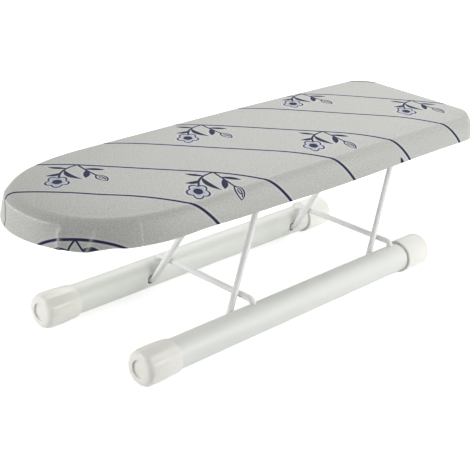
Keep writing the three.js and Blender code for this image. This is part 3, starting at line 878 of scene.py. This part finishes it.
def printed_shapes(u, v):
    """All navy print, the flowers and the buds over the whole cloth."""
    c = math.cos(PRINT_ANGLE)
    s = math.sin(PRINT_ANGLE)
    along = u * c - v * s
    across = u * s + v * c - LINE_START
    line = abs(across.wrapped(LINE_STEP)) * -1.0 + LINE_HALF_WIDTH
    row = (across / ROW_STEP).op("CEIL")
    y = across - row * ROW_STEP
    x = (along - row * SPRIG_SHIFT - SPRIG_START).wrapped(SPRIG_STEP)
    navy, flower, bud = sprig(x - y * SPRIG_LEAN, y / SPRIG_SCALE)
    return navy.most(line), flower, bud


def woven_ground(paint, cloth):
    """The unprinted cloth's colour, its flecks of thread and its coarser blotches."""
    dark_thread = linear(160, 161, 156)
    light_thread = linear(207, 208, 203)
    dull = linear(158, 159, 154)
    warm = linear(190, 190, 182)
    warp = paint.noise(paint.stretched(cloth, (1900.0, 600.0, 1.0)), scale=1.0, detail=1.0)
    weft = paint.noise(paint.stretched(cloth, (600.0, 1900.0, 1.0)), scale=1.0, detail=1.0)
    heather = paint.noise(cloth, scale=760.0, rough=0.65)
    fleck = ((warp + weft) * 0.2 + heather * 0.6).above(0.36, 0.64)
    blotch = paint.noise(cloth, scale=240.0, rough=0.6)
    cloud = paint.noise(paint.place(), scale=26.0, detail=3.0)
    ground = paint.mix(fleck, dark_thread, light_thread)
    ground = paint.mix(blotch.above(0.35, 0.65) * 0.2, ground, dull)
    ground = paint.mix(cloud.above(0.3, 0.7) * 0.2, ground, warm)
    return ground, fleck, blotch


def tinted_sprigs(paint, ground, navy, flower, bud):
    """The cloth's colour with a pale rim beside the print and tints in the flowers and buds."""
    rim = linear(212, 214, 224)
    petal = linear(182, 188, 202)
    heart = linear(100, 108, 146)
    bud_fill = linear(196, 200, 206)
    tinted = paint.mix(navy.above(-2.4, -INK_BLUR) * 0.4, ground, rim)
    tinted = paint.mix(flower.above(-0.2, INK_BLUR) * 0.75, tinted, petal)
    tinted = paint.mix(flower.above(1.5, 6.5) * 0.7, tinted, heart)
    return paint.mix(bud.above(-0.2, INK_BLUR) * 0.5, tinted, bud_fill)


def cloth_paint():
    """Metallised cotton, printed with navy lines and hanging sprigs, with a painted highlight along its
    creases.
    """
    dark_ink = linear(8, 10, 42)
    light_ink = linear(17, 20, 60)
    # Colour of the painted highlight along the creases
    crease_glint_colour = linear(238, 238, 232)
    paint = Paint("printed_cloth", linear(183, 184, 179), 0.45, Specular_IOR_Level=0.4)
    flat_map = paint.node("ShaderNodeUVMap")
    flat_map.uv_map = "flat_cloth"
    cloth = flat_map.outputs["UV"]
    u, v, _ = paint.split(cloth)
    navy, flower, bud = printed_shapes(u / MM, v / MM)
    inked = navy.above(-INK_BLUR, INK_BLUR)
    ground, fleck, blotch = woven_ground(paint, cloth)
    tinted = tinted_sprigs(paint, ground, navy, flower, bud)
    printed = paint.mix(inked, tinted, paint.mix(fleck, dark_ink, light_ink))
    # Painted highlight: the cloth is painted paler along the nose's creases, broken up by the blotches, where
    # the fold edges catch the light
    crease = paint.node("ShaderNodeAttribute")
    crease.attribute_name = "crease_mark"
    crease_glint = paint.value(crease, "Fac") * blotch.above(0.3, 0.6) * 0.8
    paint.set("Base Color", paint.mix(crease_glint, printed, crease_glint_colour))
    paint.set("Roughness", fleck * 0.1 + inked * 0.4 + 0.4)
    paint.set("Normal", paint.bump(fleck, strength=0.3, distance=0.0003))
    return paint.material


# Pieces
def smooth_solid(node):
    """Welds a solid's facets for shading and keeps its real edges sharp."""
    mesh = node.data
    for name in ("custom_normal", "sharp_face", "sharp_edge"):
        found = mesh.attributes.get(name)
        if found is not None:
            mesh.attributes.remove(found)
    joined = node.modifiers.new("weld", "WELD")
    joined.merge_threshold = WELD_METRES
    parted = node.modifiers.new("edges", "EDGE_SPLIT")
    parted.split_angle = SHARP_ANGLE


def dress(endings, material):
    """Gives a material to every node whose name ends in one of the endings."""
    for name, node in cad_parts.items():
        if name.endswith(endings):
            node.data.materials.clear()
            node.data.materials.append(material)


def dress_frame():
    """All solids that show, by the kind of piece."""
    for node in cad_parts.values():
        smooth_solid(node)
    dress("_tube", coated_paint("white_coat", linear(238, 240, 235), linear(234, 236, 231), 0.42))
    dress("_wire", coated_paint("grey_coat", linear(246, 247, 246), linear(242, 243, 242), 0.5))
    dress("_cap", plastic_paint("white_plastic", linear(244, 243, 237), linear(240, 239, 232)))
    dress(("_saddle", "_screw"), zinc_paint())
    dress("board_core", chipboard_paint())


def make_pad():
    """The foam pad: a closed crowned form just inside the cover."""
    skin = CLOTH_THICKNESS + FIT_GAP
    pad = ring_mesh("soft_pad", top_rings(skin) + pad_edge_rings(skin), closed_below=True)
    pad.data.materials.append(foam_paint())
    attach(pad, "board")
    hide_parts("foam_pad")


def make_cover():
    """The printed cloth, settled over the pad and drawn in under the board."""
    rings = top_rings(0) + cover_edge_rings() + hem_rings()
    cover = ring_mesh("printed_cover", settled(rings), creased=True)
    shell = cover.modifiers.new("cloth", "SOLIDIFY")
    shell.thickness = CLOTH_THICKNESS * MM
    shell.offset = -1
    cover.data.materials.append(cloth_paint())
    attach(cover, "board")
    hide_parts("fabric_cover")


# Studio
def seen_directly(tree):
    """1 for rays from the camera and for those by way of gloss or glass."""
    path = tree.nodes.new("ShaderNodeLightPath")
    camera = Value(tree, path.outputs["Is Camera Ray"])
    gloss = Value(tree, path.outputs["Is Glossy Ray"])
    glass = Value(tree, path.outputs["Is Transmission Ray"])
    return camera.most(gloss).most(glass)


def make_world():
    """White where it is seen, and a faint light."""
    world = bpy.data.worlds.new("studio")
    world.use_nodes = True
    tree = world.node_tree
    background = tree.nodes["Background"]
    background.inputs["Color"].default_value = (1, 1, 1, 1)
    strength = seen_directly(tree) * (1 - WORLD_LIGHT) + WORLD_LIGHT
    tree.links.new(strength.socket, background.inputs["Strength"])
    bpy.context.scene.world = world


def make_floor():
    """A pale floor that keeps the shadow near the object and turns white farther off."""
    signs = ((-1, -1), (1, -1), (1, 1), (-1, 1))
    mesh = bpy.data.meshes.new("floor")
    mesh.from_pydata([(x * FLOOR_REACH, y * FLOOR_REACH, 0) for x, y in signs], [], [(0, 1, 2, 3)])
    floor = bpy.data.objects.new("floor", mesh)
    bpy.context.scene.collection.objects.link(floor)
    paint = Paint("pale_floor", linear(246, 246, 246), 0.9, Specular_IOR_Level=0.0)
    x, y, _ = paint.split(paint.place())
    away = (x * x + y * y).op("SQRT").above(GLOW_GROWS_FROM, GLOW_FULL_FROM)
    paint.set("Emission Color", (1, 1, 1, 1))
    paint.set("Emission Strength", seen_directly(paint.tree) * (away * (1 - FLOOR_GLOW) + FLOOR_GLOW))
    mesh.materials.append(paint.material)


def make_lamp(name, place, target, size, power):
    """A soft box that the camera doesn't see."""
    data = bpy.data.lights.new(name, "AREA")
    data.shape = "RECTANGLE"
    data.size, data.size_y = size
    data.energy = power
    lamp = bpy.data.objects.new(name, data)
    lamp.location = place
    lamp.rotation_euler = (Vector(target) - Vector(place)).to_track_quat("-Z", "Y").to_euler()
    lamp.visible_camera = False
    bpy.context.scene.collection.objects.link(lamp)


def make_camera():
    """The photograph's view."""
    yaw, pitch, roll = CAMERA_YAW, CAMERA_PITCH, CAMERA_ROLL
    look = Vector((math.cos(yaw) * math.cos(pitch), math.sin(yaw) * math.cos(pitch), -math.sin(pitch)))
    level = Vector((math.sin(yaw), -math.cos(yaw), 0))
    lift = level.cross(look)
    right = math.cos(roll) * level + math.sin(roll) * lift
    up = math.cos(roll) * lift - math.sin(roll) * level
    data = bpy.data.cameras.new("camera")
    data.sensor_width = SENSOR
    data.lens = FOCAL_PIXELS * SENSOR / IMAGE_PIXELS
    data.clip_start = 0.01
    data.clip_end = 100
    camera = bpy.data.objects.new("camera", data)
    turn = Matrix((right, up, -look)).transposed().to_4x4()
    camera.matrix_world = Matrix.Translation(CAMERA_PLACE) @ turn
    bpy.context.scene.collection.objects.link(camera)
    bpy.context.scene.camera = camera


dress_frame()
make_pad()
make_cover()
make_floor()
make_world()
for lamp_name, lamp_values in LAMPS.items():
    make_lamp(lamp_name, *lamp_values)
make_camera()
bpy.context.scene.view_settings.view_transform = "Standard"
